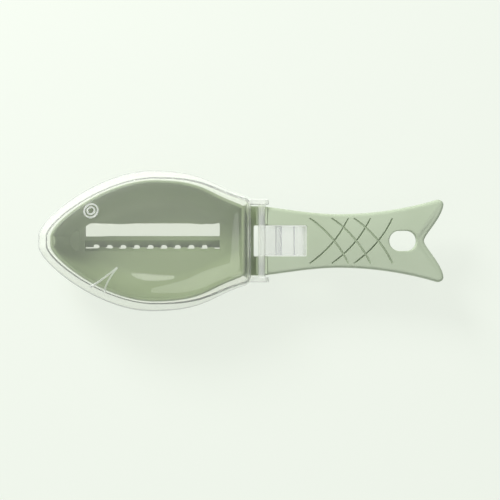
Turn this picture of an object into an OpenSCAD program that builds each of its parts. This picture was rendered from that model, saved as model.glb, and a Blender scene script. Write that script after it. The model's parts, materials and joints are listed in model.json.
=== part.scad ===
/* [Lid] */
// Length from the nose of the lid to the tips of the tail
length = 240; // [225:1:260]
// Width over the lid's lower edge
lid_w = 83.2; // [78:0.5:88]
// Length of the lid from its nose to its rear wall
lid_l = 126; // [120:1:130]
// Wall of the clear lid
lid_wall = 1.8; // [1.4:0.1:2.2]
// How far the skirt leans outward from its top to its lower edge
skirt_flare = 4; // [3:0.25:5]
// Height of the skirt from its lower edge to the foot of the roof
skirt_h = 10.5; // [8:0.5:11]
// Rise of the roof from its foot to the crown
dome_h = 10; // [7:0.5:14]
// Distance in plan from the foot of the roof to the crown
dome_run = 24; // [20:1:26]

/* [Bowl] */
// Height of the bowl's rim above the hinge axis
rim_rise = 3.5; // [2.5:0.25:4]
// Height of the floor's upper face above the tooth tips
floor_z = 8.2; // [7:0.2:10]
// Wall of the moulded base
wall = 2.2; // [1.8:0.1:2.6]
// Distance in plan from the lid's lower edge in to the bowl's rim
rim_inset = 6; // [5.5:0.25:7.5]
// Width of the flat floor
floor_w = 38; // [34:0.5:42]
// Distance in plan from the rim to the floor at the nose
nose_slope = 14; // [10:0.5:16]

/* [Scraper slot] */
// Length of the slot through the floor
slot_l = 81.5; // [70:0.5:84]
// Width of the slot through the floor
slot_w = 17; // [16:0.25:18]
// Distance from the middle of the slot to the lid's rear wall
slot_from_rear = 59.5; // [58:0.5:61]
// Distance of the slot's middle from the long axis
slot_shift = 2.3; // [0:0.1:4]
// Width of the open throat behind the blade
throat_w = 7.7; // [6.5:0.1:8]
// Width of the flat land along the top of the blade
land_w = 2.6; // [2:0.1:3]
// How far the blade leans from its land to its toothed edge
blade_lean = 4.5; // [3.5:0.1:5]
// How far the lip reaches into the slot at its scallops
lip_reach = 2.6; // [2:0.1:3]
// Height of the scallops along the lip, seen from above
scallop_h = 1; // [0.6:0.1:1.4]
// Distance from one tooth to the next
tooth_pitch = 8.3; // [7:0.1:10]
// Width of one tooth
tooth_w = 4.8; // [3.5:0.1:5.5]
// Depth of the gaps between the teeth
tooth_h = 3; // [2:0.1:4]
// Distance from the front end of the slot to the first tooth's middle
tooth_lead = 10; // [8:0.5:12]
// Width of the toothed rails under the floor
rail_w = 2.2; // [1.8:0.1:3]

/* [Hinge] */
// Height of the hinge axis above the tooth tips
axis_z = 26.5; // [26.4:0.1:30]
// Distance from the lid's rear wall back to the hinge axis
axis_back = 6.5; // [6.2:0.1:8]
// Radius of the lid's hinge bar
bar_r = 2.2; // [1.8:0.1:2.4]
// Radial clearance between the bar and its clips
bar_gap = 0.08; // [0.05:0.01:0.1]
// Wall of each clip that holds the bar
clip_wall = 1.3; // [1:0.1:1.6]
// Length of each clip along the bar
clip_l = 10; // [8:0.5:10.5]
// Angle from upright at which each clip's mouth begins
clip_mouth = 58; // [50:1:65]
// Thickness of the ears that carry the bar
ear_t = 3; // [2.4:0.1:3.2]
// Radius of each ear round the bar
ear_r = 4.2; // [3.8:0.1:4.4]
// Gap between each ear and the neck
ear_gap = 0.7; // [0.4:0.1:1]
// Distance from each ear out to the lid's rear corner
ear_margin = 1.2; // [0.8:0.1:2.5]
// Depth of the trough under the hinge axis
trough_drop = 5; // [4.8:0.1:5.5]

/* [Press tab] */
// Width of the press tab
tab_w = 17.2; // [15:0.2:18]
// Reach of the press tab behind the hinge axis
tab_l = 26; // [22:0.25:26.2]
// Thickness of the press tab
tab_t = 2; // [1.6:0.1:2.4]
// Gap left round the tab in its window
tab_gap = 0.6; // [0.4:0.1:1]

/* [Handle] */
// Height of the handle's top face above the hinge axis
handle_rise = 2; // [1.5:0.1:2.5]
// Width of the neck under the hinge
neck_w = 41.2; // [39:0.2:42]
// Width at the narrowest place
waist_w = 32; // [30:0.5:36]
// Distance from the narrowest place to the tips of the tail
waist_from_tail = 62; // [58:1:68]
// Width over the two lobes of the tail
tail_w = 49; // [44:0.5:56]
// Depth of the notch between the lobes
notch_d = 11.5; // [8:0.5:13]
// Radius at the tip of each lobe
lobe_r = 3.2; // [3.2:0.1:4]
// Radius of the soft edge round the top face
edge_r = 2.4; // [1.8:0.1:2.6]
// Depth of the handle's side walls at the neck
side_h = 10; // [9:0.5:12]
// Depth of the handle's side walls at the tail
tail_side_h = 6.5; // [5:0.5:9]
// Depth of the collars round the window and the hanging hole
collar_h = 5; // [4:0.5:6]

/* [Hanging hole] */
// Length of the hanging hole
hole_l = 16.4; // [12:0.2:18]
// Width of the hanging hole
hole_w = 11.9; // [8:0.1:12]
// Distance from the middle of the hanging hole to the tips of the tail
hole_from_tail = 24.3; // [23:0.5:26]

/* [Net pattern] */
// Radius of each engraved net line
net_r = 68; // [60:1:80]
// Distance from one net crossing to the next
net_pitch = 13; // [11:0.5:15]
// Number of net lines in each direction
net_count = 3; // [1:1:3]
// Distance from the tips of the tail to the nearest crossing
net_from_tail = 39; // [37:0.5:41]
// Lean of the net lines where they cross on the long axis
net_lean = 39; // [36:1:42]
// Width of a net line
net_w = 1.1; // [0.8:0.1:1.4]
// Depth of a net line
net_d = 0.5; // [0.3:0.1:0.8]

/* [Hidden] */
$fn = 48;
eps = 0.01;
sage = [0.72, 0.77, 0.69];
clear_tint = [0.86, 0.92, 0.90, 0.45];
bow_steps = 14;
gill_steps = 10;
corner_steps = 3;
rise_step = 15;
waist_steps = 10;
tail_steps = 8;
head_strips = corner_steps + gill_steps + bow_steps - 1;
lobe_start = waist_steps + tail_steps - 1;

// Places along the object
nose_x = -length / 2;
tail_x = length / 2;
rear_x = nose_x + lid_l;
axis_x = rear_x + axis_back;
front_x = axis_x + bar_r + 1.2;
waist_x = tail_x - waist_from_tail;
hole_x = tail_x - hole_from_tail;

// Heights above the tooth tips
rim_z = axis_z + rim_rise;
roof_z = rim_z + 2;
skirt_z = roof_z - skirt_h;
trough_z = axis_z - trough_drop;
handle_z = axis_z + handle_rise;
sole_z = floor_z - wall;
height = roof_z + dome_h;

// Fish-head outlines as [nose x, half width, rear x, half width at the rear]
bow_share = 1.4;
ear_y = neck_w / 2 + ear_gap;
lid_edge = [nose_x, lid_w / 2, rear_x, ear_y + ear_t + ear_margin];
roof_foot = [nose_x + bow_share * skirt_flare, lid_w / 2 - skirt_flare,
             rear_x, lid_edge[3] - 1.2];
crown = [roof_foot[0] + bow_share * dome_run, roof_foot[1] - dome_run,
         rear_x - dome_run, roof_foot[3] - 0.8 * dome_run];
bowl_back = rear_x - lid_wall - 1.8;
bowl_rim = [nose_x + bow_share * rim_inset, lid_w / 2 - rim_inset, bowl_back, neck_w / 2];
bowl_foot = [bowl_rim[0] + nose_slope - wall, floor_w / 2 + wall, bowl_back - wall, 6];

// Slot, throat, blade and lip, across the object
slot_x0 = rear_x - slot_from_rear - slot_l / 2;
slot_x1 = slot_x0 + slot_l;
slot_hi = slot_shift + slot_w / 2;
slot_lo = slot_shift - slot_w / 2;
land_hi = slot_hi - throat_w;
land_lo = land_hi - land_w;
gullet_r = (tooth_pitch - tooth_w) / 2;
tooth_count = floor((slot_l - tooth_lead - tooth_w / 2) / tooth_pitch) + 1;

// Window that the tab swings through, and the clips beside it
window_x0 = axis_x - ear_r - 0.6;
window_x1 = axis_x + tab_l + tab_gap;
window_half = tab_w / 2 + tab_gap;
clip_y = window_half + 0.4;
clip_r = bar_r + bar_gap;

// Point on a cubic curve
function cubic(a, b, c, d, t) =
    pow(1 - t, 3) * a + 3 * t * pow(1 - t, 2) * b + 3 * t * t * (1 - t) * c + pow(t, 3) * d;

// Blend of two outlines
function mix(a, b, t) = [for (i = [0 : len(a) - 1]) a[i] * (1 - t) + b[i] * t];

// Half of a fish-head outline, from the rear corner to the nose
function head_half(o) =
    let (mid = o[0] + 0.53 * (o[2] - o[0]),
         fore = mid - o[0],
         aft = o[2] - mid)
    concat(
        [for (i = [0 : gill_steps - 1])
            cubic([o[2], o[3]], [o[2] - 0.41 * aft, o[3] + 0.4 * (o[1] - o[3])],
                  [mid + 0.59 * aft, o[1]], [mid, o[1]], i / gill_steps)],
        [for (i = [0 : bow_steps])
            cubic([mid, o[1]], [mid - 0.46 * fore, o[1]],
                  [o[0], 0.31 * o[1]], [o[0], 0.07 * o[1]], i / bow_steps)]);

// Whole fish-head outline with round rear corners
function head(o) =
    let (half = head_half(o),
         n = len(half),
         r = min(2, o[3] / 3))
    concat(
        [for (i = [0 : corner_steps - 1])
            let (a = 90 * i / corner_steps)
            [o[2] - r * (1 - cos(a)), o[3] - r * (1 - sin(a))]],
        [for (i = [1 : n - 1]) half[i]],
        [for (i = [n - 1 : -1 : 1]) [half[i][0], -half[i][1]]],
        [for (i = [corner_steps - 1 : -1 : 0])
            let (a = 90 * i / corner_steps)
            [o[2] - r * (1 - cos(a)), -o[3] + r * (1 - sin(a))]]);

// Half of the neck and handle outline, from the neck to the notch
function handle_half() =
    let (lean = 17,
         lobe = [tail_x - lobe_r, tail_w / 2 - lobe_r],
         meet = lobe + lobe_r * [-sin(lean), cos(lean)])
    concat(
        [[bowl_back - 0.7 * wall, neck_w / 2]],
        [for (i = [0 : waist_steps])
            cubic([front_x - 3, neck_w / 2], [front_x + 8, neck_w / 2 - 1],
                  [waist_x - 16, waist_w / 2], [waist_x, waist_w / 2], i / waist_steps)],
        [for (i = [1 : tail_steps])
            cubic([waist_x, waist_w / 2], [tail_x - 40, waist_w / 2],
                  meet - 16 * [cos(lean), sin(lean)], meet, i / tail_steps)],
        [for (a = [90 : -15 : 0]) lobe + lobe_r * [cos(a), sin(a)]],
        [for (i = [1 : 10])
            cubic([tail_x, lobe[1]], [tail_x - 0.8, lobe[1] - 8],
                  [tail_x - notch_d, 3.2], [tail_x - notch_d, 0], i / 10)]);

// Whole neck and handle outline
function handle_outline() =
    let (half = handle_half(),
         n = len(half))
    concat(
        [for (i = [0 : n - 1]) [half[i][0], -half[i][1]]],
        [for (i = [n - 2 : -1 : 0]) half[i]]);

// Outline moved inward along its own normals
function inset(pts, d) =
    let (n = len(pts))
    [for (i = [0 : n - 1])
        let (t = pts[(i + 1) % n] - pts[(i + n - 1) % n])
        pts[i] + d * [-t[1], t[0]] / norm(t)];

// Outline lifted to one height
function at(pts, z) = [for (p = pts) [p[0], p[1], z]];

// Ring of the bowl's outer face, from 0 at the rim to 90 at the sole
function bowl_ring(a) = mix(head(bowl_rim), head(bowl_foot), 1 - cos(a));

// Ring of the lid's roof, from 0 at its foot to 90 at the crown
function roof_ring(a) = mix(head(roof_foot), head(crown), 1 - cos(a));

// Depth of the handle's side walls at one place
function side_depth(x) =
    side_h + (tail_side_h - side_h) * max(0, (x - front_x) / (tail_x - front_x));

// Cross strips that fill a ring of n points, mirrored about the long axis, up to point m;
// past it each tail lobe is a fan of its own
function cap(n, m) =
    let (h = (n - 1) / 2)
    concat(
        [for (i = [0 : m - 1]) [i, i + 1, n - 2 - i, n - 1 - i]],
        n % 2 == 0 ? [] : concat(
            [[m, h, n - 1 - m]],
            [for (i = [m + 1 : h - 1]) [m, i, i + 1]],
            [for (i = [m + 1 : h - 1]) [n - 1 - m, n - 2 - i, n - 1 - i]]));

// Closed skin through equal rings, with a flat first ring below and last ring above
module skin(rings, m) {
    n = len(rings[0]);
    last = (len(rings) - 1) * n;
    ends = cap(n, m);
    polyhedron(
        points = [for (r = rings) for (p = r) p],
        faces = concat(
            ends,
            [for (f = ends) [for (j = [len(f) - 1 : -1 : 0]) last + f[j]]],
            [for (k = [0 : len(rings) - 2]) for (i = [0 : n - 1]) for (f = [0, 1])
                let (a = k * n + i, b = k * n + (i + 1) % n)
                f == 0 ? [a, a + n, b] : [b, a + n, b + n]]));
}

// Solid that runs across the object, drawn as a profile in length and height
module across(y0, y1) {
    translate([0, y1, 0])
        rotate([90, 0, 0])
            linear_extrude(y1 - y0)
                children();
}

// Solid that runs along the object, drawn as a profile in width and height
module along(x0, x1) {
    translate([x0, 0, 0])
        rotate([90, 0, 90])
            linear_extrude(x1 - x0)
                children();
}

// Same solid on both sides of the long axis
module both_sides() {
    children();
    mirror([0, 1, 0])
        children();
}

module bowl_shell() {
    skin(concat(
        [for (a = [90 : -rise_step : 0])
            at(bowl_ring(a), rim_z - (rim_z - sole_z) * sin(a))],
        [for (a = [0 : rise_step : 90])
            at(inset(bowl_ring(a), wall), rim_z - (rim_z - floor_z) * sin(a))]),
        head_strips);
}

module handle_shell() {
    outline = handle_outline();
    draft = 0.4;
    skin(concat(
        [at(inset(outline, wall + draft), handle_z - wall)],
        [[for (p = inset(outline, wall)) [p[0], p[1], handle_z - side_depth(p[0])]]],
        [[for (p = outline) [p[0], p[1], handle_z - side_depth(p[0])]]],
        [for (a = [0 : 22.5 : 90])
            at(inset(outline, draft + edge_r * (1 - cos(a))),
               handle_z - edge_r * (1 - sin(a)))]),
        lobe_start);
}

// Open space in the trough between the bowl and the handle
module trough() {
    translate([bowl_back - wall - 1, -neck_w / 2 - 1, trough_z])
        cube([front_x - bowl_back + wall + 1, neck_w + 2, height]);
}

// Profile of the lip across the slot, reaching into it by one distance
module lip_profile(reach) {
    polygon([
        [slot_lo - wall, floor_z],
        [slot_lo, floor_z],
        [slot_lo + reach, floor_z - 2.2],
        [slot_lo + reach, floor_z - 3.2],
        [slot_lo, sole_z - 1.5],
        [slot_lo - wall, sole_z]]);
}

// Floor of the scraper: toothed rails, leaning blade and scalloped lip
module scraper() {
    difference() {
        union() {
            along(slot_x0 - rail_w, slot_x1 + rail_w) {
                translate([slot_hi, 0])
                    square([rail_w, sole_z + eps]);
                translate([slot_lo - rail_w, 0])
                    square([rail_w, sole_z + eps]);
            }
            for (x = [slot_x0 - rail_w, slot_x1])
                translate([x, slot_lo - rail_w / 2, tooth_h])
                    cube([rail_w, slot_w + rail_w, sole_z - tooth_h + eps]);
            along(slot_x0 - rail_w / 2, slot_x1 + rail_w / 2)
                polygon([
                    [land_hi, floor_z],
                    [land_lo, floor_z],
                    [land_lo - blade_lean, 0],
                    [land_hi - blade_lean, 0]]);
        }
        for (k = [0 : tooth_count - 1])
            translate([slot_x0 + tooth_lead + (k - 0.5) * tooth_pitch, 0, 0])
                gullet();
    }
    along(slot_x0, slot_x1)
        lip_profile(lip_reach - scallop_h);
    intersection() {
        along(slot_x0, slot_x1)
            lip_profile(lip_reach);
        for (k = [0 : tooth_count - 1])
            translate([slot_x0 + tooth_lead + k * tooth_pitch, slot_lo + lip_reach - scallop_r(), 0])
                cylinder(r = scallop_r(), h = floor_z);
    }
}

// Radius of a scallop from its width and height
function scallop_r() = (pow(tooth_w / 2, 2) + scallop_h * scallop_h) / (2 * scallop_h);

// Round-topped gap between two teeth, cut across all the toothed edges
module gullet() {
    across(slot_lo - rail_w - 1, slot_hi + rail_w + 1) {
        translate([0, tooth_h - gullet_r])
            circle(r = gullet_r);
        translate([-gullet_r, -1])
            square([2 * gullet_r, tooth_h - gullet_r + 1]);
    }
}

// Clip that holds the bar, open at the top
module bar_clip() {
    across(clip_y, clip_y + clip_l) {
        difference() {
            union() {
                translate([axis_x, axis_z])
                    circle(r = clip_r + clip_wall);
                translate([axis_x - clip_r, trough_z - wall / 2])
                    square([2 * clip_r, trough_drop + wall / 2 - clip_r]);
            }
            translate([axis_x, axis_z])
                circle(r = clip_r);
            translate([axis_x, axis_z])
                polygon([[0, 0], 3 * clip_r * [-sin(clip_mouth), cos(clip_mouth)],
                         [0, 6 * clip_r], 3 * clip_r * [sin(clip_mouth), cos(clip_mouth)]]);
        }
    }
}

// Rounded slot shape of the hanging hole, grown by one distance
module hole_shape(grow) {
    r = hole_w / 2 + grow;
    reach = (hole_l - hole_w) / 2;
    for (x = [-reach, reach])
        translate([hole_x + x, 0])
            circle(r = r);
    translate([hole_x - reach, -r])
        square([2 * reach, 2 * r]);
}

// One engraved net line, leaning toward the tail
module net_line(k) {
    reach = waist_w / 2 - edge_r - 1;
    cross_x = tail_x - net_from_tail - k * net_pitch;
    foot_a = asin((net_r * sin(net_lean) - reach) / net_r);
    head_a = asin((net_r * sin(net_lean) + reach) / net_r);
    translate([cross_x - net_r * cos(net_lean), -net_r * sin(net_lean), handle_z])
        rotate([0, 0, foot_a])
            rotate_extrude(angle = head_a - foot_a)
                translate([net_r - net_w / 2, -net_d])
                    square([net_w, net_d + 1]);
}

module scaler_body() {
    color(sage)
    difference() {
        union() {
            bowl_shell();
            difference() {
                handle_shell();
                trough();
            }
            translate([bowl_back - 0.7 * wall, -neck_w / 2 + wall / 2, trough_z - wall])
                cube([front_x - bowl_back + 1.7 * wall, neck_w - wall, wall]);
            translate([front_x, -neck_w / 2 + wall / 2, trough_z - wall])
                cube([wall, neck_w - wall, handle_z - edge_r - trough_z + wall]);
            both_sides()
                bar_clip();
            translate([0, 0, handle_z - wall - collar_h])
                linear_extrude(collar_h + wall / 2)
                    hole_shape(wall);
            translate([front_x, -window_half - wall, handle_z - wall - collar_h])
                cube([window_x1 + wall - front_x, 2 * window_half + 2 * wall, collar_h + wall / 2]);
        }
        translate([slot_x0, slot_lo, sole_z - 1])
            cube([slot_l, slot_w, wall + 2]);
        translate([window_x0, -window_half, trough_z - 2 * wall - collar_h])
            cube([window_x1 - window_x0, 2 * window_half, handle_z]);
        translate([0, 0, handle_z - wall - collar_h - 1])
            linear_extrude(collar_h + wall + 2)
                hole_shape(0);
        both_sides()
            for (k = [0 : net_count - 1])
                net_line(k);
    }
    color(sage)
        scraper();
}

module lid_shell() {
    skin(concat(
        [for (a = [90 : -rise_step : 0])
            at(inset(roof_ring(a), lid_wall), roof_z + (dome_h - lid_wall) * sin(a))],
        [at(inset(head(lid_edge), lid_wall), skirt_z)],
        [at(head(lid_edge), skirt_z)],
        [for (a = [0 : rise_step : 90])
            at(roof_ring(a), roof_z + dome_h * sin(a))]),
        head_strips);
}

// Ear that carries one end of the bar
module ear() {
    across(ear_y, ear_y + ear_t) {
        translate([axis_x, axis_z])
            circle(r = ear_r);
        polygon([
            [rear_x - lid_wall / 2, axis_z - ear_r],
            [axis_x, axis_z - ear_r],
            [axis_x, axis_z + ear_r],
            [rear_x - lid_wall / 2, axis_z + ear_r + 2]]);
    }
}

// Press tab: a root on the bar, a dip, the pad and a sloped end
module press_tab() {
    top = [[-1.4, bar_r], [bar_r + 1.4, bar_r], [tab_l - 18.5, 0.8], [tab_l - 15, 0.8],
           [tab_l - 5, 1.6], [tab_l, -0.8]];
    n = len(top);
    across(-tab_w / 2, tab_w / 2)
        translate([axis_x, axis_z])
            polygon(concat(top, [for (i = [n - 1 : -1 : 0]) top[i] - [0, tab_t]]));
}

module clear_lid() {
    color(clear_tint) {
        difference() {
            lid_shell();
            translate([rear_x - lid_wall - 1, -ear_y, skirt_z - 1])
                cube([lid_wall + 2, 2 * ear_y, trough_z + 0.8 - skirt_z + 1]);
        }
        both_sides()
            ear();
        across(-ear_y - ear_t / 2, ear_y + ear_t / 2)
            translate([axis_x, axis_z])
                circle(r = bar_r);
        press_tab();
    }
}

scaler_body();
clear_lid();
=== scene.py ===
import json
import math

import bmesh
import bpy
import numpy as np
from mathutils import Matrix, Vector


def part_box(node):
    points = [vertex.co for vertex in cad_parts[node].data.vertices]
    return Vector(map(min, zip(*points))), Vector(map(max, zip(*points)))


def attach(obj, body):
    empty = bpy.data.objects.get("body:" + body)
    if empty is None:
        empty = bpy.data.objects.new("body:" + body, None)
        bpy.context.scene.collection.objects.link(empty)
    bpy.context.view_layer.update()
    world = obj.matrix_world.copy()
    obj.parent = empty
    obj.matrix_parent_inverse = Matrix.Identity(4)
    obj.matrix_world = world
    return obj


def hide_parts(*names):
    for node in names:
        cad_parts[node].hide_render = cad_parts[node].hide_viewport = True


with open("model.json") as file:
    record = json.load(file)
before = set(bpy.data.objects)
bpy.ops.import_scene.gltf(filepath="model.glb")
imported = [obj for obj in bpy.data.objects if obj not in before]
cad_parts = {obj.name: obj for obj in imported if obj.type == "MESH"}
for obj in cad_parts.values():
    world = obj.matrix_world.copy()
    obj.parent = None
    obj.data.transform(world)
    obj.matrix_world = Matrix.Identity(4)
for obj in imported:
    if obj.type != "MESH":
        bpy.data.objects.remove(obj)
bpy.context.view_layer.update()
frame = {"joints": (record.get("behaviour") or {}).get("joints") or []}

MM = 0.001

# Sizes in millimetres, as the part has them
_, body_hi = (np.array(c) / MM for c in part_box("scaler_body"))
lid_lo, lid_hi = (np.array(c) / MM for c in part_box("clear_lid"))
axis_x, _, axis_z = (v / MM for v in frame["joints"][0]["pos_m"])
WALL = 2.2
LID_WALL = 1.8
nose_x, tail_x = lid_lo[0], body_hi[0]
rear_x = axis_x - 6.5
rim_z, skirt_z = body_hi[2], lid_lo[2]
roof_z = rim_z + 2
crown_z = roof_z + 10
floor_z = 8.2
sole_z = floor_z - WALL
trough_z = axis_z - 5
handle_z = axis_z + 2
BOW_SHARE = 1.4
FLARE = 4
DOME_RUN = 24
RIM_INSET = 6
NECK_HALF = 20.6
lid_half = lid_hi[1]
bowl_back = rear_x - LID_WALL - 1.8

# Head outline: where it is widest, how full its bow is and how blunt its nose, and the bends of its gills
WIDEST, BOW_FULL, NOSE_FULL, NOSE_BLUNT = 0.53, 0.46, 0.31, 0.07
GILL_REACH, GILL_RISE, GILL_FULL = 0.41, 0.4, 0.59
CORNER_R = 2.4

# Outlines as nose x, half width, rear x, half width at the rear
LID_EDGE = (nose_x, lid_half, rear_x, 25.5)
ROOF_FOOT = (nose_x + BOW_SHARE * FLARE, lid_half - FLARE, rear_x, 24.3)
CROWN = (ROOF_FOOT[0] + BOW_SHARE * DOME_RUN, ROOF_FOOT[1] - DOME_RUN,
         rear_x - DOME_RUN, ROOF_FOOT[3] - 0.65 * DOME_RUN)
CROWN_CORNER_R = 4
DOME_START = math.radians(9)
BOWL_RIM = (nose_x + BOW_SHARE * RIM_INSET, lid_half - RIM_INSET, bowl_back, NECK_HALF)
BOWL_FOOT = (BOWL_RIM[0] + 14 - WALL, 19 + WALL, bowl_back - WALL, 6)

# Slot, blade and lip
SLOT_X0, SLOT_X1 = rear_x - 59.5 - 40.75, rear_x - 59.5 + 40.75
SLOT_LO, SLOT_HI = 2.3 - 8.5, 2.3 + 8.5
LAND_HI = SLOT_HI - 7.7
LAND_LO = LAND_HI - 2.6
BLADE_LEAN = 4.5
LIP_REACH = 2.6
SCALLOP_H = 1.0
PITCH, TOOTH_W, TOOTH_H, TOOTH_LEAD = 8.3, 4.8, 3.0, 10.0
RAIL_W = 2.2
GULLET_R = (PITCH - TOOTH_W) / 2
TOOTH_COUNT = 9

# Hinge, tab and handle
BAR_R, BAR_GAP, CLIP_WALL, CLIP_L, CLIP_MOUTH = 2.2, 0.08, 1.3, 10.0, 58.0
EAR_T, EAR_R, EAR_Y = 3.0, 4.2, NECK_HALF + 0.7
TAB_HALF, TAB_L, TAB_T, TAB_GAP = 8.6, 26.0, 2.0, 0.6
GROOVE_W, GROOVE_D = 1.2, 0.7
front_x = axis_x + BAR_R + 1.2
WAIST_HALF, TAIL_HALF, LOBE_R, NOTCH = 16.0, 24.5, 3.2, 11.5
waist_x = tail_x - 62
EDGE_R, DRAFT, CROWN_DROP = 2.4, 0.4, 0.9
SIDE_H, TAIL_SIDE_H = 10.0, 6.5
COLLAR_H = 5.0
HOLE_L, HOLE_W = 16.4, 11.9
hole_x = tail_x - 24.3
WINDOW_X0, WINDOW_X1 = axis_x - EAR_R - 0.6, axis_x + TAB_L + TAB_GAP
WINDOW_HALF = TAB_HALF + TAB_GAP
WINDOW_R = 0.8
NET_R, NET_PITCH, NET_W, NET_D, NET_LEAN = 68.0, 13.0, 1.2, 1.2, 39.0

# Catch boss, low pad, eye and mouth
CATCH_R, CATCH_H, CATCH_OUT, PAD_W, PAD_H, PAD_GAP = 6.0, 6.0, 2.7, 12.0, 2.0, 2.8
EYE_R, EYE_H, EYE_RING_W, EYE_RING_GAP, EYE_AT = 4.5, 0.9, 0.9, 1.0, (0.525, 47)
MOUTH_W, MOUTH_H, MOUTH_AT, MOUTH_ENDS = 1.0, 0.8, (0.39, 72), ((0.33, 12), (0.425, 6))

# Steps along the curves
BOW_STEPS, GILL_STEPS, CORNER_STEPS, RISE_STEPS = 44, 30, 5, 20
WAIST_STEPS, TAIL_STEPS = 40, 36
LOBE_START = WAIST_STEPS + round(0.72 * TAIL_STEPS)

# Colours of the moulded green, and of the clear plastic and the light that passes it
SAGE_DARK, SAGE_PALE = (171, 183, 158), (177, 189, 165)
CLEAR_TINT, SHADOW_TINT = (0.90, 0.91, 0.85, 1), (0.68, 0.70, 0.61, 1)

# How milky the clear plastic is, seen flat and seen edge-on, and the milk's colours; on the lid's rim and
# on the tab the milk is darker and bluer, painted shade that stands in for how dark these clear edges and
# slopes look
MILK_THIN, MILK_THICK, RIM_SHADE_SHARE, TAB_HAZE_AND_SHADE_SHARE = (0.03, 0.26), (0.36, 0.8), (0.5, 0.6), (0.26, 0.75)
MILK_TONE, RIM_PAINTED_SHADE, TAB_HAZE_AND_PAINTED_SHADE = (0.86, 0.88, 0.87, 1), (0.50, 0.51, 0.56, 1), (0.70, 0.71, 0.75, 1)

# Colours of the light: on surfaces, and as clear plastic shows it low down and high up
WORLD_LIGHT, SKY_LOW, SKY_HIGH = (0.46, 0.475, 0.46, 1), (0.22, 0.25, 0.28, 1), (0.80, 0.82, 0.80, 1)
TABLE_GLOW = 0.85


def cubic(a, b, c, d, t):
    """Points along a cubic curve, as an array."""
    t = np.atleast_1d(t)[:, None]
    a, b, c, d = (np.array(p, float) for p in (a, b, c, d))
    return (1 - t) ** 3 * a + 3 * t * (1 - t) ** 2 * b + 3 * t * t * (1 - t) * c + t ** 3 * d


def spaced(steps):
    """Even steps from 0 to 1."""
    return np.linspace(0, 1, steps + 1)


def bow_points(o, t):
    """Points on the bow of a fish-head outline, from 0 at its widest part to 1 at the nose."""
    nose, half, rear, _ = o
    mid = nose + WIDEST * (rear - nose)
    return cubic((mid, half), (mid - BOW_FULL * (mid - nose), half), (nose, NOSE_FULL * half),
                 (nose, NOSE_BLUNT * half), t)


def head(o, corner_r=CORNER_R):
    """Fish-head outline with round rear corners, counter-clockwise; the gill starts past the corner."""
    nose, half, rear, back = o
    mid = nose + WIDEST * (rear - nose)
    aft = rear - mid
    r = min(corner_r, back / 2)
    gill_frame = ((rear, back), (rear - GILL_REACH * aft, back + GILL_RISE * (half - back)),
                  (mid + GILL_FULL * aft, half), (mid, half))
    tries = spaced(200)
    start = np.interp(1.15 * r, rear - cubic(*gill_frame, tries)[:, 0], tries)
    gill = cubic(*gill_frame, np.linspace(start, 1, GILL_STEPS)[:-1])
    bow = bow_points(o, spaced(BOW_STEPS))
    a = np.radians(np.linspace(0, 90, CORNER_STEPS + 1)[:-1])
    corner = np.column_stack([rear - r * (1 - np.cos(a)), back - r * (1 - np.sin(a))])
    side = np.vstack([corner, gill, bow])
    return np.vstack([side, side[::-1] * (1, -1)])


def inset(points, d):
    """Outline moved inward along its own normals."""
    t = np.roll(points, -1, 0) - np.roll(points, 1, 0)
    normal = np.column_stack([-t[:, 1], t[:, 0]]) / np.linalg.norm(t, axis=1)[:, None]
    return points + d * normal


def at(points, z):
    """Outline lifted to one height, or to a height for each point."""
    return np.column_stack([points, np.broadcast_to(z, len(points))])


def arc(n, first=0, last=90):
    """Angles in radians along a rounding."""
    return np.radians(np.linspace(first, last, n))


def handle_outline():
    """Neck and fish-tail outline, counter-clockwise."""
    lean = math.radians(17)
    lobe = np.array([tail_x - LOBE_R, TAIL_HALF - LOBE_R])
    meet = lobe + LOBE_R * np.array([-math.sin(lean), math.cos(lean)])
    a = np.radians(np.linspace(107, 0, 14)[1:])
    side = np.vstack([
        [[bowl_back - 0.7 * WALL, NECK_HALF]],
        cubic((front_x - 3, NECK_HALF), (front_x + 8, NECK_HALF - 1),
              (waist_x - 16, WAIST_HALF), (waist_x, WAIST_HALF), spaced(WAIST_STEPS)),
        cubic((waist_x, WAIST_HALF), (waist_x + 22, WAIST_HALF),
              meet - 16 * np.array([math.cos(lean), math.sin(lean)]), meet, spaced(TAIL_STEPS)[1:]),
        lobe + LOBE_R * np.column_stack([np.cos(a), np.sin(a)]),
        cubic((tail_x, lobe[1]), (tail_x - 0.8, lobe[1] - 8),
              (tail_x - NOTCH, 3.2), (tail_x - NOTCH, 0), spaced(30)[1:])])
    return np.vstack([side * (1, -1), side[-2::-1]])


def new_object(name, verts, faces):
    """Mesh object from points in millimetres."""
    mesh = bpy.data.meshes.new(name)
    mesh.from_pydata((np.asarray(verts) * MM).tolist(), [], faces)
    mesh.validate()
    obj = bpy.data.objects.new(name, mesh)
    bpy.context.scene.collection.objects.link(obj)
    return obj


def cap(n, lobe):
    """Faces across a ring mirrored about the long axis; past the lobe's start each lobe is a fan."""
    if lobe is None:
        last = n // 2 - 1
        odd = [[last, last + 1, last + 2]] if n % 2 else []
        return [[i, i + 1, n - 2 - i, n - 1 - i] for i in range(last)] + odd
    notch = (n - 1) // 2
    faces = [[i, i + 1, n - 2 - i, n - 1 - i] for i in range(lobe)] + [[lobe, notch, n - 1 - lobe]]
    for i in range(lobe + 1, notch):
        faces += [[lobe, i, i + 1], [n - 1 - lobe, n - 2 - i, n - 1 - i]]
    return faces


def loft(name, rings, lobe=None):
    """Closed skin through equal mirrored rings, flat across its first and last ring."""
    n, m = len(rings[0]), len(rings)
    ends = cap(n, lobe)
    faces = ends + [[(m - 1) * n + i for i in face[::-1]] for face in ends]
    for k in range(m - 1):
        for i in range(n):
            j = (i + 1) % n
            faces.append([k * n + i, k * n + j, (k + 1) * n + j, (k + 1) * n + i])
    obj = new_object(name, np.vstack(rings), faces)
    fix_normals(obj)
    return obj


def across(name, profile, y0, y1, round_r=0.0):
    """Solid that runs across the object, from a profile in length and height."""
    return prism(name, profile, lambda p, w: (p[0], w, p[1]), y0, y1, round_r)


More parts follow.
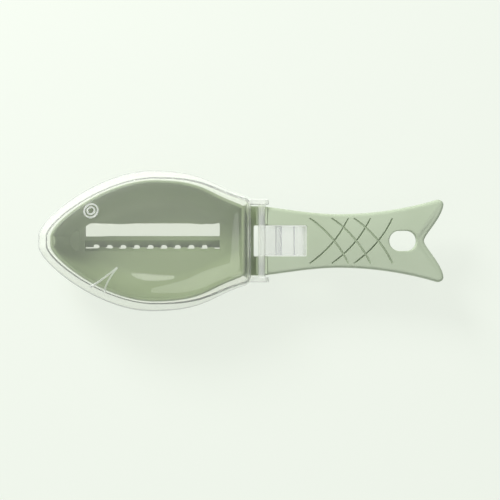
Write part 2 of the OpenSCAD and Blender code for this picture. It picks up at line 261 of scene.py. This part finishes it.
def along(name, profile, x0, x1, round_r=0.0):
    """Solid that runs along the object, from a profile in width and height."""
    return prism(name, profile, lambda p, w: (w, p[0], p[1]), x0, x1, round_r)


def prism(name, profile, place, w0, w1, round_r):
    """Solid between two copies of a profile, put in place by a function of profile point and depth."""
    n = len(profile)
    verts = [place(p, w) for w in (w0, w1) for p in profile]
    faces = [list(range(n)), [n + i for i in range(n)][::-1]]
    faces += [[i, n + i, n + (i + 1) % n, (i + 1) % n] for i in range(n)]
    obj = new_object(name, verts, faces)
    fix_normals(obj)
    if round_r:
        soften(obj, round_r)
    return obj


def box(name, lo, hi, round_r=0.0):
    """Block between two corners."""
    profile = [(lo[0], lo[2]), (hi[0], lo[2]), (hi[0], hi[2]), (lo[0], hi[2])]
    return across(name, profile, lo[1], hi[1], round_r)


def circle(cx, cz, r, n=48, first=0, last=360):
    """Points round a circle or along a part of one."""
    whole = abs(last - first) >= 360
    a = np.radians(np.linspace(first, last, n, endpoint=not whole))
    return [(cx + r * math.cos(t), cz + r * math.sin(t)) for t in a]


def fix_normals(obj):
    """Turns every face of a closed mesh outward."""
    bm = bmesh.new()
    bm.from_mesh(obj.data)
    bmesh.ops.recalc_face_normals(bm, faces=bm.faces)
    bm.to_mesh(obj.data)
    bm.free()


def apply(obj):
    """Mesh as its modifiers leave it."""
    graph = bpy.context.evaluated_depsgraph_get()
    mesh = bpy.data.meshes.new_from_object(obj.evaluated_get(graph))
    obj.modifiers.clear()
    old = obj.data
    obj.data = mesh
    bpy.data.meshes.remove(old)


def soften(obj, r, angle=40, segments=3):
    """Rounds every edge sharper than the angle."""
    bevel = obj.modifiers.new("soft", "BEVEL")
    bevel.width = r * MM
    bevel.segments = segments
    bevel.limit_method = "ANGLE"
    bevel.angle_limit = math.radians(angle)
    apply(obj)


def combine(obj, others, how):
    """Boolean of one object with others, which are used up."""
    for other in others:
        step = obj.modifiers.new(how, "BOOLEAN")
        step.operation = how
        step.solver = "MANIFOLD"
        step.material_mode = "TRANSFER"
        step.object = other
        apply(obj)
        bpy.data.objects.remove(other)
    return obj


def shade(obj, angle=32):
    """Smooth shading that keeps edges sharper than the angle, and large flat faces flat."""
    obj.data.polygons.foreach_set("use_smooth", [True] * len(obj.data.polygons))
    obj.data.set_sharp_from_angle(angle=math.radians(angle))
    even = obj.modifiers.new("even", "WEIGHTED_NORMAL")
    even.weight = 80
    even.keep_sharp = True
    apply(obj)


def mix(a, b, t):
    """Value or outline part of the way from one to another."""
    return a * (1 - t) + b * t


def bowl():
    """Bowl with a round rim."""
    rim, foot = head(BOWL_RIM), head(BOWL_FOOT)
    r = WALL / 2

    def ring(a, base_z, d):
        return at(inset(mix(rim, foot, 1 - math.cos(a)), d),
                  rim_z - r - (rim_z - r - base_z) * math.sin(a))

    rings = [ring(a, sole_z, 0) for a in arc(RISE_STEPS)[::-1]]
    rings += [at(inset(rim, r * (1 - math.cos(a))), rim_z - r + r * math.sin(a))
              for a in arc(11, 0, 180)[1:-1]]
    rings += [ring(a, floor_z, WALL) for a in arc(RISE_STEPS)]
    return loft("scaler_base", rings)


def nose_fittings():
    """Catch boss and low pad, kept inside the bowl's wall at the nose."""
    rim, foot = head(BOWL_RIM), head(BOWL_FOOT)
    boss = loft("catch", [at(np.array(circle(BOWL_RIM[0] - CATCH_OUT, 0, CATCH_R - d, 64)), rim_z - 0.5 - h)
                          for d, h in ((0, CATCH_H), (0, 0.5), (0.15, 0.15), (0.5, 0))])
    pad = box("pad", (BOWL_RIM[0], -PAD_W / 2, sole_z),
              (SLOT_X0 - PAD_GAP, PAD_W / 2, floor_z + PAD_H), 0.3)
    inside = loft("inside", [at(inset(mix(rim, foot, 1 - math.cos(a)), WALL / 2),
                                rim_z - 0.2 - (rim_z - sole_z - 1) * math.sin(a))
                             for a in arc(RISE_STEPS)[::-1]])
    combine(boss, [pad], "UNION")
    return combine(boss, [inside], "INTERSECT")


def side_depth(x):
    """Depth of the handle's sides, which get lower toward the tail."""
    return SIDE_H + (TAIL_SIDE_H - SIDE_H) * np.clip((x - front_x) / (tail_x - front_x), 0, 1)


def handle():
    """Open-backed handle shell with a soft edge round its top face."""
    outline = handle_outline()
    inner = inset(outline, WALL)
    rings = [at(inset(outline, WALL + DRAFT), handle_z - WALL),
             at(inner, handle_z - side_depth(inner[:, 0])),
             at(outline, handle_z - side_depth(outline[:, 0]))]
    rings += [at(inset(outline, DRAFT + EDGE_R * (1 - math.cos(a))),
                 handle_z - CROWN_DROP - (EDGE_R - CROWN_DROP) * (1 - math.sin(a))) for a in arc(8, 0, 80)]
    edge = inset(outline, DRAFT + EDGE_R)
    spine = np.column_stack([np.clip(edge[:, 0], None, tail_x - NOTCH - 9), 0 * edge[:, 1]])
    rings += [at(mix(edge, spine, t), handle_z - CROWN_DROP * (1 - t) ** 2) for t in 0.92 * spaced(10)]
    obj = loft("handle", rings, LOBE_START)
    cut = box("trough_cut", (bowl_back - WALL - 1, -NECK_HALF - 1, trough_z),
              (front_x, NECK_HALF + 1, handle_z + 9))
    return combine(obj, [cut], "DIFFERENCE")


def obround(grow, n=20):
    """Outline of the hanging hole, grown by one distance."""
    r = HOLE_W / 2 + grow
    reach = (HOLE_L - HOLE_W) / 2
    right = circle(hole_x + reach, 0, r, n, -90, 90)
    left = circle(hole_x - reach, 0, r, n, 90, 270)
    return np.array(right + left)


def window(grow, n=6):
    """Outline of the tab's window with small corners, grown by one distance."""
    r = WINDOW_R + grow
    points = []
    x0, x1, y1 = WINDOW_X0 + WINDOW_R, WINDOW_X1 - WINDOW_R, WINDOW_HALF - WINDOW_R
    for cx, cy, first in ((x1, -y1, -90), (x1, y1, 0), (x0, y1, 90), (x0, -y1, 180)):
        points += circle(cx, cy, r, n, first, first + 90)
    return np.array(points)


def flared(name, shape, lip, bottom):
    """Cutter that leaves a rounded edge on the handle's top face."""
    rings = [at(shape(0), bottom), at(shape(0), handle_z - lip)]
    rings += [at(shape(lip * (1 - math.cos(a))), handle_z - lip + lip * math.sin(a))
              for a in arc(6)[1:]]
    rings.append(at(shape(lip), handle_z + 4))
    return loft(name, rings)


def net_cut(k, side):
    """Cutter for one engraved net line."""
    lean = math.radians(NET_LEAN)
    reach = WAIST_HALF - EDGE_R - 0.3
    cx = tail_x - 39 - k * NET_PITCH - NET_R * math.cos(lean)
    cy = -NET_R * math.sin(lean)
    first = math.asin((NET_R * math.sin(lean) - reach) / NET_R)
    last = math.asin((NET_R * math.sin(lean) + reach) / NET_R)
    section = [(-NET_W / 2, 0.7), (-NET_W / 2, 0.05), (-NET_W / 9, -NET_D),
               (NET_W / 9, -NET_D), (NET_W / 2, 0.05), (NET_W / 2, 0.7)]
    steps, taper = 36, 3
    verts, n = [], len(section)
    for i in range(steps + 1):
        a = first + (last - first) * i / steps
        lift = 0.45 * max(0, 1 - min(i, steps - i) / taper)
        for d, z in section:
            y = cy + (NET_R + d) * math.sin(a)
            sag = CROWN_DROP * (y / (WAIST_HALF - 2)) ** 2
            verts.append((cx + (NET_R + d) * math.cos(a), side * y, handle_z + z + lift - sag))
    faces = [list(range(n)), [steps * n + i for i in range(n)][::-1]]
    for s in range(steps):
        faces += [[s * n + i, (s + 1) * n + i, (s + 1) * n + (i + 1) % n, s * n + (i + 1) % n]
                  for i in range(n)]
    obj = new_object("net_cut", verts, faces)
    fix_normals(obj)
    return obj


def clip(side):
    """Clip that holds the bar, open at the top."""
    r = BAR_R + BAR_GAP
    y0, y1 = WINDOW_HALF + 0.4, WINDOW_HALF + 0.4 + CLIP_L
    first, last = 90 + CLIP_MOUTH, 450 - CLIP_MOUTH
    outer = circle(axis_x, axis_z, r + CLIP_WALL, 40, first, last)
    inner = circle(axis_x, axis_z, r, 40, last, first)
    ring = across("clip", outer + inner, *sorted((side * y0, side * y1)), round_r=0.3)
    foot = box("clip_foot", (axis_x - r, min(side * y0, side * y1), trough_z - WALL / 2),
               (axis_x + r, max(side * y0, side * y1), axis_z - r - 0.3))
    return combine(ring, [foot], "UNION")


def lip_profile(reach):
    """Section of the slot's lip, which reaches under the blade."""
    return [(SLOT_LO - WALL, floor_z), (SLOT_LO, floor_z), (SLOT_LO + reach, floor_z - 2.2),
            (SLOT_LO + reach, floor_z - 3.2), (SLOT_LO, sole_z - 1.5), (SLOT_LO - WALL, sole_z)]


def scraper():
    """Toothed rails, leaning blade and scalloped lip."""
    block = along("blade", [(LAND_HI, floor_z), (LAND_LO, floor_z), (LAND_LO - BLADE_LEAN, 0),
                            (LAND_HI - BLADE_LEAN, 0)], SLOT_X0 - RAIL_W / 2, SLOT_X1 + RAIL_W / 2, 0.25)
    top = sole_z + 0.05
    rails = [box("rail", (SLOT_X0 - RAIL_W, y, 0), (SLOT_X1 + RAIL_W, y + RAIL_W, top))
             for y in (SLOT_HI, SLOT_LO - RAIL_W)]
    cheeks = [box("cheek", (x, SLOT_LO - RAIL_W / 2, TOOTH_H), (x + RAIL_W, SLOT_HI + RAIL_W / 2, top))
              for x in (SLOT_X0 - RAIL_W, SLOT_X1)]
    combine(block, rails + cheeks, "UNION")
    gullets = []
    for k in range(TOOTH_COUNT):
        x = SLOT_X0 + TOOTH_LEAD + (k - 0.5) * PITCH
        profile = circle(x, TOOTH_H - GULLET_R, GULLET_R, 20, 0, 180)
        profile += [(x - GULLET_R, -1), (x + GULLET_R, -1)]
        gullets.append(across("gullet", profile, SLOT_LO - RAIL_W - 1, SLOT_HI + RAIL_W + 1))
    combine(block, gullets, "DIFFERENCE")
    lip = along("lip", lip_profile(LIP_REACH - SCALLOP_H), SLOT_X0, SLOT_X1)
    r = ((TOOTH_W / 2) ** 2 + SCALLOP_H ** 2) / (2 * SCALLOP_H)
    teeth = []
    for k in range(TOOTH_COUNT):
        x = SLOT_X0 + TOOTH_LEAD + k * PITCH
        tooth = along("tooth", lip_profile(LIP_REACH), x - TOOTH_W / 2, x + TOOTH_W / 2)
        disc = np.array(circle(x, SLOT_LO + LIP_REACH - r, r, 64))
        round_cut = loft("round", [at(disc, z) for z in (0, 20)])
        teeth.append(combine(tooth, [round_cut], "INTERSECT"))
    combine(lip, teeth, "UNION")
    return combine(block, [lip], "UNION")


def base():
    """The whole green moulding."""
    obj = bowl()
    plates = [
        nose_fittings(),
        handle(),
        box("trough_floor", (bowl_back - 0.7 * WALL, -NECK_HALF + WALL / 2, trough_z - WALL),
            (front_x + WALL, NECK_HALF - WALL / 2, trough_z)),
        box("front_wall", (front_x, -NECK_HALF + WALL / 2, trough_z - WALL),
            (front_x + WALL, NECK_HALF - WALL / 2, handle_z - EDGE_R)),
        box("window_collar", (front_x, -WINDOW_HALF - WALL, handle_z - WALL - COLLAR_H),
            (WINDOW_X1 + WALL, WINDOW_HALF + WALL, handle_z - WALL / 2)),
        loft("hole_collar", [at(obround(WALL), z)
                             for z in (handle_z - WALL - COLLAR_H, handle_z - WALL / 2)]),
        clip(1), clip(-1)]
    combine(obj, plates, "UNION")
    cuts = [
        box("slot_cut", (SLOT_X0, SLOT_LO, sole_z - 1), (SLOT_X1, SLOT_HI, floor_z + 1)),
        flared("window_cut", window, 0.6, trough_z - 2 * WALL - COLLAR_H),
        flared("hole_cut", obround, 1.0, handle_z - WALL - COLLAR_H - 1)]
    cuts += [net_cut(k, side) for k in range(3) for side in (1, -1)]
    combine(obj, cuts, "DIFFERENCE")
    combine(obj, [scraper()], "UNION")
    shade(obj)
    return obj


def dome_shares(a):
    """Shares of the dome's run and rise at an angle up its curve, which leans inward from the start."""
    b = DOME_START + a * (1 - DOME_START / math.radians(90))
    low, high = math.cos(DOME_START), math.sin(DOME_START)
    return (low - math.cos(b)) / low, (math.sin(b) - high) / (1 - high)


def roof_point(at_place, side):
    """Point on the roof on one side, from a place round the bow and an angle up its curve."""
    place, rise = at_place
    t, up = dome_shares(math.radians(rise))
    x, y = bow_points(ROOF_FOOT, place)[0] * (1 - t) + bow_points(CROWN, place)[0] * t
    return Vector((x, side * y, roof_z + (crown_z - roof_z) * up))


def roof_normal(at_place, side):
    """Direction straight out of the roof at such a point."""
    place, rise = at_place
    round_way = roof_point((place + 0.02, rise), side) - roof_point((place - 0.02, rise), side)
    up_way = roof_point((place, rise + 2), side) - roof_point((place, rise - 2), side)
    return side * up_way.cross(round_way).normalized()


def eye():
    """Two round ribs with soft tops that stand straight out of the roof."""
    centre, normal = roof_point(EYE_AT, 1), roof_normal(EYE_AT, 1)
    turn = normal.to_track_quat("Z", "Y").to_matrix()
    sink = LID_WALL / 2
    ribs = []
    for outer in (EYE_R, EYE_R - EYE_RING_W - EYE_RING_GAP):
        middle = outer - EYE_RING_W / 2
        section = [(middle + EYE_RING_W / 2, -sink)]
        section += [(middle + EYE_RING_W / 2 * math.cos(a), EYE_H - 0.4 + 0.4 * math.sin(a))
                    for a in arc(9, 0, 180)]
        section += [(middle - EYE_RING_W / 2, -sink)]
        ribs.append(ring_round("eye_rib", section, centre, turn))
    return ribs


def ring_round(name, section, centre, turn, steps=72):
    """Closed ring swept from a section of radius and height."""
    n = len(section)
    verts = []
    for a in np.linspace(0, 2 * math.pi, steps, endpoint=False):
        verts += [centre + turn @ Vector((r * math.cos(a), r * math.sin(a), h)) for r, h in section]
    faces = [[k * n + i, (k + 1) % steps * n + i, (k + 1) % steps * n + (i + 1) % n, k * n + (i + 1) % n]
             for k in range(steps) for i in range(n)]
    obj = new_object(name, [tuple(v) for v in verts], faces)
    fix_normals(obj)
    return obj


def mouth_line(end, steps=24):
    """One line of the mouth, a soft rib from the mouth's corner to a place near the roof's foot."""
    path = [(mix(MOUTH_AT[0], end[0], t), mix(MOUTH_AT[1], end[1], t)) for t in spaced(steps)]
    sink = LID_WALL / 2
    rings = []
    for i, place in enumerate(path):
        c, n = roof_point(place, -1), roof_normal(place, -1)
        way = roof_point(path[min(i + 1, steps)], -1) - roof_point(path[max(i - 1, 0)], -1)
        s = n.cross(way.normalized()).normalized()
        rise = MOUTH_H * min(1, (min(i, steps - i) + 0.4) / 2)
        ring = [c - s * MOUTH_W / 2 - n * sink]
        ring += [c - s * MOUTH_W / 2 * math.cos(a) + n * rise * math.sin(a) for a in arc(9, 0, 180)]
        ring += [c + s * MOUTH_W / 2 - n * sink]
        rings.append(np.minimum(np.array(ring), (tail_x, lid_half, crown_z)))
    return loft("mouth_line", rings)


def lid():
    """The whole clear moulding."""
    foot, crown, edge = head(ROOF_FOOT), head(CROWN, CROWN_CORNER_R), head(LID_EDGE)
    dome = crown_z - roof_z
    r = LID_WALL / 2

    def roof(a, d, rise):
        run, up = dome_shares(a)
        return at(inset(mix(foot, crown, run), d), roof_z + rise * up)

    rings = [roof(a, LID_WALL, dome - LID_WALL) for a in arc(RISE_STEPS)[::-1]]
    rings += [at(inset(edge, LID_WALL / 2 + r * math.cos(a)), skirt_z + r * (1 - math.sin(a)))
              for a in arc(7, 0, 180)]
    rings += [roof(a, 0, dome) for a in arc(RISE_STEPS)]
    obj = loft("clear_lid_smooth", rings)
    ears = []
    for side in (1, -1):
        profile = [(rear_x - LID_WALL / 2, axis_z - EAR_R)] + circle(axis_x, axis_z, EAR_R, 24, -90, 90)
        profile += [(rear_x - LID_WALL / 2, axis_z + EAR_R + 2)]
        ears.append(across("ear", profile, *sorted((side * EAR_Y, side * (EAR_Y + EAR_T))), round_r=0.5))
    bar = across("bar", circle(axis_x, axis_z, BAR_R, 40), -EAR_Y - EAR_T / 2, EAR_Y + EAR_T / 2)
    marks = eye() + [mouth_line(end) for end in MOUTH_ENDS]
    obj.data.materials.append(clear_plastic("clear_plastic", *MILK_THIN))
    # The rim's material darkens the milk to grey-blue: painted shade along the lid's lower edge, on the
    # faces picked below.
    obj.data.materials.append(clear_plastic("clear_plastic_rim_painted_shade", *RIM_SHADE_SHARE, RIM_PAINTED_SHADE))
    rim_top, rim_end = (skirt_z + 0.6 * LID_WALL) * MM, (rear_x - LID_WALL) * MM
    for face in obj.data.polygons:
        if face.center.z < rim_top and face.center.x < rim_end:
            face.material_index = 1
    thick = clear_plastic("clear_plastic_thick", *MILK_THICK)
    # The tab's milk is greyer and bluer than the rest: haze with painted shade on the tab.
    tab_shaded_plastic = clear_plastic("clear_plastic_tab_painted_shade", *TAB_HAZE_AND_SHADE_SHARE, TAB_HAZE_AND_PAINTED_SHADE)
    tab = press_tab()
    for other in ears + [bar, tab] + marks:
        other.data.materials.append(tab_shaded_plastic if other is tab else thick)
        combine(obj, [other], "UNION")
    shade(obj)
    return obj


def press_tab():
    """Stepped tab for the thumb, with grooves across it and a sloped end."""
    root, step, dip, end = -1.4, 1.6 * BAR_R, 0.3 * TAB_L, TAB_L - 5
    dip_z, end_z, tip_z = 0.8, 1.6, -0.8

    def groove(x, down, depth):
        z = dip_z + (end_z - dip_z) * (x - dip) / (end - dip) - down
        return [(x - GROOVE_W / 2, z), (x, z + depth), (x + GROOVE_W / 2, z)]

    top = [(root, BAR_R), (step, BAR_R), (dip, dip_z)]
    for x in (dip + 1.4, end - 2):
        top += groove(x, 0, -GROOVE_D / 2)
    top += [(end, end_z), (TAB_L, tip_z)]
    bottom = [(root, BAR_R - TAB_T), (step, BAR_R - TAB_T), (dip, dip_z - TAB_T)]
    for x in (dip + 0.7, dip + 2.1, dip + 3.5, end - 2):
        bottom += groove(x, TAB_T, GROOVE_D)
    bottom += [(end, end_z - TAB_T), (TAB_L, tip_z - TAB_T)]
    outline = np.array(top + bottom[::-1]) + (axis_x, axis_z)
    return across("tab", outline.tolist(), -TAB_HALF, TAB_HALF, round_r=0.2)


def node_setup(name):
    """New material with its nodes, links and main shader."""
    mat = bpy.data.materials.new(name)
    mat.use_nodes = True
    nodes, links = mat.node_tree.nodes, mat.node_tree.links
    return mat, nodes, links, nodes["Principled BSDF"]


def srgb(r, g, b):
    """Linear colour from 8-bit screen values."""

    def one(v):
        v /= 255
        return v / 12.92 if v <= 0.04045 else ((v + 0.055) / 1.055) ** 2.4

    return (one(r), one(g), one(b), 1)


def sage_plastic():
    """Satin moulded plastic with a fine skin texture and a faint drift of colour."""
    mat, nodes, links, shader = node_setup("sage_plastic")
    coord = nodes.new("ShaderNodeTexCoord")
    drift = nodes.new("ShaderNodeTexNoise")
    drift.inputs["Scale"].default_value = 28
    drift.inputs["Detail"].default_value = 3
    ramp = nodes.new("ShaderNodeValToRGB")
    ramp.color_ramp.elements[0].position = 0.3
    ramp.color_ramp.elements[0].color = srgb(*SAGE_DARK)
    ramp.color_ramp.elements[1].position = 0.7
    ramp.color_ramp.elements[1].color = srgb(*SAGE_PALE)
    links.new(coord.outputs["Object"], drift.inputs["Vector"])
    links.new(drift.outputs["Fac"], ramp.inputs["Fac"])
    links.new(ramp.outputs["Color"], shader.inputs["Base Color"])
    grain = nodes.new("ShaderNodeTexNoise")
    grain.inputs["Scale"].default_value = 1600
    grain.inputs["Detail"].default_value = 2
    links.new(coord.outputs["Object"], grain.inputs["Vector"])
    rough = nodes.new("ShaderNodeMapRange")
    rough.inputs["To Min"].default_value = 0.36
    rough.inputs["To Max"].default_value = 0.5
    links.new(grain.outputs["Fac"], rough.inputs["Value"])
    links.new(rough.outputs["Result"], shader.inputs["Roughness"])
    bump = nodes.new("ShaderNodeBump")
    bump.inputs["Strength"].default_value = 0.12
    bump.inputs["Distance"].default_value = 0.0001
    links.new(grain.outputs["Fac"], bump.inputs["Height"])
    links.new(bump.outputs["Normal"], shader.inputs["Normal"])
    shader.inputs["IOR"].default_value = 1.48
    return mat


def clear_plastic(name, flat, edge, tone=MILK_TONE):
    """Clear moulded plastic: faintly wavy, milkier where it is seen edge-on, open to the lamps' light; a
    darker milk tone passed in paints shade onto it.
    """
    mat, nodes, links, shader = node_setup(name)
    shader.inputs["Base Color"].default_value = CLEAR_TINT
    shader.inputs["Transmission Weight"].default_value = 1
    shader.inputs["IOR"].default_value = 1.45
    shader.inputs["Roughness"].default_value = 0.03
    haze_and_shade = nodes.new("ShaderNodeBsdfDiffuse")
    haze_and_shade.inputs["Color"].default_value = tone
    weight = nodes.new("ShaderNodeLayerWeight")
    weight.inputs["Blend"].default_value = 0.5
    share = nodes.new("ShaderNodeMapRange")
    share.interpolation_type = "SMOOTHSTEP"
    share.inputs["From Min"].default_value = 0.05
    share.inputs["From Max"].default_value = 0.95
    share.inputs["To Min"].default_value = flat
    share.inputs["To Max"].default_value = edge
    links.new(weight.outputs["Facing"], share.inputs["Value"])
    hazed_and_shaded = nodes.new("ShaderNodeMixShader")
    links.new(share.outputs["Result"], hazed_and_shaded.inputs["Fac"])
    links.new(shader.outputs["BSDF"], hazed_and_shaded.inputs[1])
    links.new(haze_and_shade.outputs["BSDF"], hazed_and_shaded.inputs[2])
    open_way = nodes.new("ShaderNodeBsdfTransparent")
    open_way.inputs["Color"].default_value = SHADOW_TINT
    path = nodes.new("ShaderNodeLightPath")
    blend = nodes.new("ShaderNodeMixShader")
    links.new(path.outputs["Is Shadow Ray"], blend.inputs["Fac"])
    links.new(hazed_and_shaded.outputs["Shader"], blend.inputs[1])
    links.new(open_way.outputs["BSDF"], blend.inputs[2])
    links.new(blend.outputs["Shader"], nodes["Material Output"].inputs["Surface"])
    coord = nodes.new("ShaderNodeTexCoord")
    wave = nodes.new("ShaderNodeTexNoise")
    wave.inputs["Scale"].default_value = 60
    links.new(coord.outputs["Object"], wave.inputs["Vector"])
    bump = nodes.new("ShaderNodeBump")
    bump.inputs["Strength"].default_value = 0.05
    bump.inputs["Distance"].default_value = 0.0004
    links.new(wave.outputs["Fac"], bump.inputs["Height"])
    links.new(bump.outputs["Normal"], shader.inputs["Normal"])
    return mat


TABLE_COLOUR = srgb(240, 246, 236)


def seen_first(nodes, links):
    """One for what the camera sees, also in or through clear plastic, and zero for what lights surfaces."""
    path = nodes.new("ShaderNodeLightPath")
    first = nodes.new("ShaderNodeMath")
    first.operation = "LESS_THAN"
    first.inputs[1].default_value = 0.5
    links.new(path.outputs["Diffuse Depth"], first.inputs[0])
    return first.outputs["Value"]


def floor():
    """Pale table that shows the object's soft shadow, and can be looked through from below."""
    half = 3.0
    mesh = bpy.data.meshes.new("table")
    low = -0.02 * MM
    corners = [(-half, -half, low), (half, -half, low), (half, half, low), (-half, half, low)]
    mesh.from_pydata(corners, [], [(0, 1, 2, 3)])
    obj = bpy.data.objects.new("table", mesh)
    bpy.context.scene.collection.objects.link(obj)
    mat, nodes, links, shader = node_setup("table")
    shader.inputs["Base Color"].default_value = TABLE_COLOUR
    shader.inputs["Roughness"].default_value = 0.9
    shader.inputs["Specular IOR Level"].default_value = 0.1
    glow = nodes.new("ShaderNodeEmission")
    glow.inputs["Color"].default_value = TABLE_COLOUR
    share = nodes.new("ShaderNodeMath")
    share.operation = "MULTIPLY"
    share.inputs[1].default_value = TABLE_GLOW
    links.new(seen_first(nodes, links), share.inputs[0])
    blend = nodes.new("ShaderNodeMixShader")
    links.new(share.outputs["Value"], blend.inputs["Fac"])
    links.new(shader.outputs["BSDF"], blend.inputs[1])
    links.new(glow.outputs["Emission"], blend.inputs[2])
    side = nodes.new("ShaderNodeNewGeometry")
    open_way = nodes.new("ShaderNodeBsdfTransparent")
    below = nodes.new("ShaderNodeMixShader")
    links.new(side.outputs["Backfacing"], below.inputs["Fac"])
    links.new(blend.outputs["Shader"], below.inputs[1])
    links.new(open_way.outputs["BSDF"], below.inputs[2])
    links.new(below.outputs["Shader"], nodes["Material Output"].inputs["Surface"])
    mesh.materials.append(mat)


def lamp(name, azimuth, elevation, distance, size, power, mirrored=True, lights=True):
    """Soft lamp on one side of the head, in degrees from the tail's end.

    It can be left out of mirror images, or be a card that is only seen in them.
    """
    light = bpy.data.lights.new(name, "AREA")
    light.shape = "ELLIPSE"
    light.size, light.size_y = size
    light.energy = power
    obj = bpy.data.objects.new(name, light)
    bpy.context.scene.collection.objects.link(obj)
    a, e = math.radians(azimuth), math.radians(elevation)
    way = Vector((math.cos(a) * math.cos(e), math.sin(a) * math.cos(e), math.sin(e)))
    obj.location = Vector((-0.03, 0, 0.03)) + way * distance
    obj.rotation_euler = way.to_track_quat("Z", "Y").to_euler()
    obj.visible_glossy = mirrored
    obj.visible_transmission = mirrored and lights
    obj.visible_diffuse = lights


def surround(world):
    """Pale backdrop and even light; clear plastic shows a dim blue-grey horizon below a pale sky."""
    nodes, links = world.node_tree.nodes, world.node_tree.links
    coord = nodes.new("ShaderNodeTexCoord")
    parts = nodes.new("ShaderNodeSeparateXYZ")
    links.new(coord.outputs["Generated"], parts.inputs["Vector"])
    sky = nodes.new("ShaderNodeValToRGB")
    sky.color_ramp.elements[0].position = 0.05
    sky.color_ramp.elements[0].color = SKY_LOW
    sky.color_ramp.elements[1].position = 0.5
    sky.color_ramp.elements[1].color = SKY_HIGH
    links.new(parts.outputs["Z"], sky.inputs["Fac"])
    blend = nodes.new("ShaderNodeMix")
    blend.data_type = "RGBA"
    blend.inputs["A"].default_value = WORLD_LIGHT
    links.new(sky.outputs["Color"], blend.inputs["B"])
    links.new(seen_first(nodes, links), blend.inputs["Factor"])
    path = nodes.new("ShaderNodeLightPath")
    backdrop = nodes.new("ShaderNodeMix")
    backdrop.data_type = "RGBA"
    backdrop.inputs["B"].default_value = TABLE_COLOUR
    links.new(blend.outputs["Result"], backdrop.inputs["A"])
    links.new(path.outputs["Is Camera Ray"], backdrop.inputs["Factor"])
    links.new(backdrop.outputs["Result"], nodes["Background"].inputs["Color"])


def studio():
    """Soft light from the head's upper side, and a pale world."""
    scene = bpy.context.scene
    scene.view_settings.view_transform = "Standard"
    world = bpy.data.worlds.new("studio")
    scene.world = world
    world.use_nodes = True
    surround(world)
    lamp("key", 121, 32, 0.9, (0.35, 0.35), 9.8, mirrored=False)
    lamp("gill_card", 312, 52, 0.8, (1.2, 0.5), 3.6, lights=False)
    lamp("head_strip", 135, 12, 0.7, (0.9, 0.1), 0.25)
    lamp("spark", 250, 67, 0.8, (0.15, 0.13), 0.14)


def camera():
    """Looks straight down, as the photograph does."""
    width_m = 0.2975
    centre = Vector((0.0055, -0.0054, 0.02))
    cam = bpy.data.cameras.new("camera")
    cam.lens = 85
    cam.sensor_width = 36
    obj = bpy.data.objects.new("camera", cam)
    bpy.context.scene.collection.objects.link(obj)
    obj.location = centre + Vector((0, 0, width_m * cam.lens / cam.sensor_width))
    obj.rotation_euler = (0, 0, 0)
    cam.clip_start = 0.01
    bpy.context.scene.camera = obj


camera()
studio()
floor()

green = base()
green.data.materials.clear()
green.data.materials.append(sage_plastic())
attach(green, "base")
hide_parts("scaler_body")

cover = lid()
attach(cover, "lid")
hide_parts("clear_lid")
